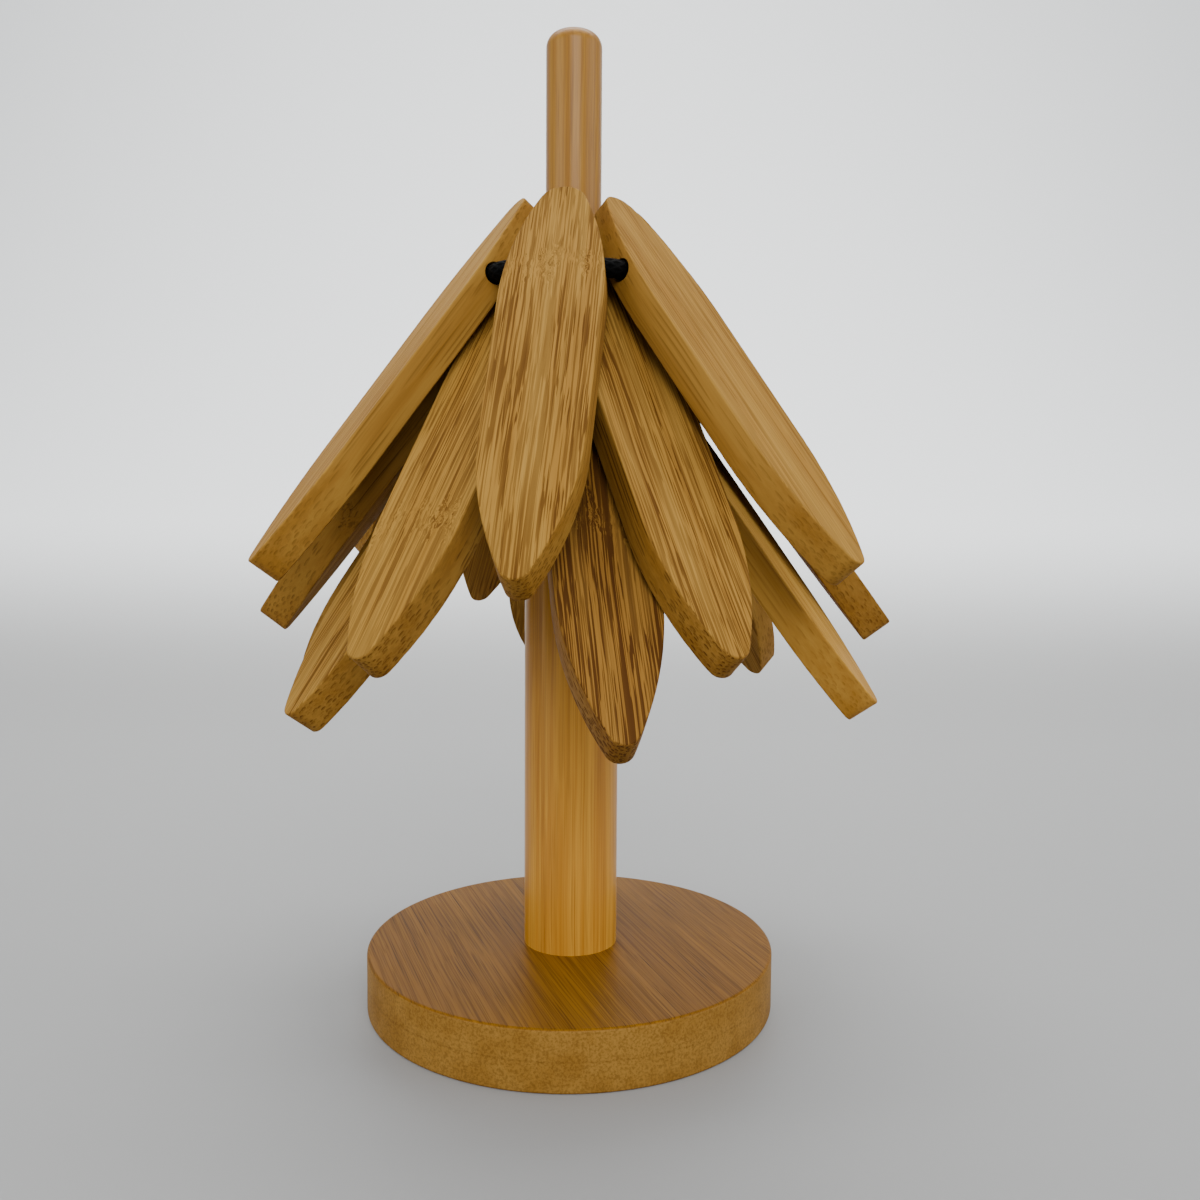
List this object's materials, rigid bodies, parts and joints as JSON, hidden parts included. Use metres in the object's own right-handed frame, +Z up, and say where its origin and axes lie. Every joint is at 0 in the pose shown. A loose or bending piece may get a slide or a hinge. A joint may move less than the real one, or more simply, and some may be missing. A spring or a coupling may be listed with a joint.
{
  "type": "leaf trivet tree",
  "caption": "Bamboo stand with a round base and a rod, holding a stack of cone-shaped hot-pad trivets made of leaf slats on cord rings.",
  "frame": {"origin": "on the axis of the rod at the underside of the base", "axes": "+Z up along the rod, -Y the front"},
  "size_m": [0.151, 0.1539, 0.2334],
  "materials": {
    "varnished_board": "varnished",
    "varnished_cane": "varnished",
    "raw_bamboo": "matte",
    "black_cord": "matte",
    "zinc_steel": "plated"
  },
  "bodies": {
    "stand": {"base_disc": "varnished_board", "lower_post": "varnished_cane", "upper_rod": "varnished_cane", "base_screw": "zinc_steel"},
    "bottom_trivet": {"bottom_cord": "black_cord"},
    "middle_trivet": {"middle_cord": "black_cord", "middle_leaf_1": "raw_bamboo", "middle_leaf_2": "raw_bamboo", "middle_leaf_3": "raw_bamboo", "middle_leaf_4": "raw_bamboo", "middle_leaf_5": "raw_bamboo", "middle_leaf_6": "raw_bamboo"},
    "top_trivet": {"top_cord": "black_cord"},
    "top_leaf_1": {"top_leaf_1": "raw_bamboo"},
    "top_leaf_2": {"top_leaf_2": "raw_bamboo"},
    "top_leaf_3": {"top_leaf_3": "raw_bamboo"},
    "top_leaf_4": {"top_leaf_4": "raw_bamboo"},
    "top_leaf_5": {"top_leaf_5": "raw_bamboo"},
    "top_leaf_6": {"top_leaf_6": "raw_bamboo"},
    "bottom_leaf_1": {"bottom_leaf_1": "raw_bamboo"},
    "bottom_leaf_2": {"bottom_leaf_2": "raw_bamboo"},
    "bottom_leaf_3": {"bottom_leaf_3": "raw_bamboo"},
    "bottom_leaf_4": {"bottom_leaf_4": "raw_bamboo"},
    "bottom_leaf_5": {"bottom_leaf_5": "raw_bamboo"},
    "bottom_leaf_6": {"bottom_leaf_6": "raw_bamboo"}
  },
  "joints": [
    {"name": "bottom_trivet_lift", "type": "slide", "parent": "stand", "child": "bottom_trivet", "axis": [0, 0, 1], "range_m": [0, 0.09]},
    {"name": "middle_trivet_lift", "type": "slide", "parent": "bottom_trivet", "child": "middle_trivet", "axis": [0, 0, 1], "range_m": [0, 0.075]},
    {"name": "top_trivet_lift", "type": "slide", "parent": "middle_trivet", "child": "top_trivet", "axis": [0, 0, 1], "range_m": [0, 0.06]},
    {"name": "top_leaf_1_hinge", "type": "hinge", "parent": "top_trivet", "child": "top_leaf_1", "pos_m": [-0.00282, -0.02514, 0.1735], "axis": [-0.9938, 0.1115, 0], "range_deg": [-18, 0]},
    {"name": "top_leaf_2_hinge", "type": "hinge", "parent": "top_trivet", "child": "top_leaf_2", "pos_m": [0.01794, -0.01639, 0.1735], "axis": [-0.6743, -0.7385, 0], "range_deg": [-18, 0]},
    {"name": "top_leaf_3_hinge", "type": "hinge", "parent": "top_trivet", "child": "top_leaf_3", "pos_m": [0.0233, 0.00757, 0.1735], "axis": [0.309, -0.9511, 0], "range_deg": [-18, 0]},
    {"name": "top_leaf_4_hinge", "type": "hinge", "parent": "top_trivet", "child": "top_leaf_4", "pos_m": [0.00434, 0.02411, 0.1735], "axis": [0.9842, -0.1771, 0], "range_deg": [-18, 0]},
    {"name": "top_leaf_5_hinge", "type": "hinge", "parent": "top_trivet", "child": "top_leaf_5", "pos_m": [-0.01967, 0.01461, 0.1735], "axis": [0.5962, 0.8028, 0], "range_deg": [-18, 0]},
    {"name": "top_leaf_6_hinge", "type": "hinge", "parent": "top_trivet", "child": "top_leaf_6", "pos_m": [-0.02139, -0.01066, 0.1735], "axis": [-0.4462, 0.8949, 0], "range_deg": [-18, 0]},
    {"name": "bottom_leaf_1_hinge", "type": "hinge", "parent": "bottom_trivet", "child": "bottom_leaf_1", "pos_m": [0.00362, -0.02423, 0.1415], "axis": [-0.989, -0.1478, 0], "range_deg": [-8, 0]},
    {"name": "bottom_leaf_2_hinge", "type": "hinge", "parent": "bottom_trivet", "child": "bottom_leaf_2", "pos_m": [0.02256, -0.0079, 0.1415], "axis": [-0.3305, -0.9438, 0], "range_deg": [-8, 0]},
    {"name": "bottom_leaf_3_hinge", "type": "hinge", "parent": "bottom_trivet", "child": "bottom_leaf_3", "pos_m": [0.0183, 0.01614, 0.1415], "axis": [0.6613, -0.7501, 0], "range_deg": [-8, 0]},
    {"name": "bottom_leaf_4_hinge", "type": "hinge", "parent": "bottom_trivet", "child": "bottom_leaf_4", "pos_m": [-0.00425, 0.02413, 0.1415], "axis": [0.9848, 0.1736, 0], "range_deg": [-8, 0]},
    {"name": "bottom_leaf_5_hinge", "type": "hinge", "parent": "bottom_trivet", "child": "bottom_leaf_5", "pos_m": [-0.02317, 0.00798, 0.1415], "axis": [0.3256, 0.9455, 0], "range_deg": [-8, 0]},
    {"name": "bottom_leaf_6_hinge", "type": "hinge", "parent": "bottom_trivet", "child": "bottom_leaf_6", "pos_m": [-0.01877, -0.01575, 0.1415], "axis": [-0.6428, 0.766, 0], "range_deg": [-8, 0]}
  ],
  "couplings": [
    {"joint": "top_leaf_1_hinge", "follows": "top_trivet_lift", "rad_per_m": -5.2},
    {"joint": "top_leaf_2_hinge", "follows": "top_trivet_lift", "rad_per_m": -5.2},
    {"joint": "top_leaf_3_hinge", "follows": "top_trivet_lift", "rad_per_m": -5.2},
    {"joint": "top_leaf_4_hinge", "follows": "top_trivet_lift", "rad_per_m": -5.2},
    {"joint": "top_leaf_5_hinge", "follows": "top_trivet_lift", "rad_per_m": -5.2},
    {"joint": "top_leaf_6_hinge", "follows": "top_trivet_lift", "rad_per_m": -5.2},
    {"joint": "bottom_leaf_1_hinge", "follows": "middle_trivet_lift", "rad_per_m": -1.86},
    {"joint": "bottom_leaf_2_hinge", "follows": "middle_trivet_lift", "rad_per_m": -1.86},
    {"joint": "bottom_leaf_3_hinge", "follows": "middle_trivet_lift", "rad_per_m": -1.86},
    {"joint": "bottom_leaf_4_hinge", "follows": "middle_trivet_lift", "rad_per_m": -1.86},
    {"joint": "bottom_leaf_5_hinge", "follows": "middle_trivet_lift", "rad_per_m": -1.86},
    {"joint": "bottom_leaf_6_hinge", "follows": "middle_trivet_lift", "rad_per_m": -1.86}
  ]
}
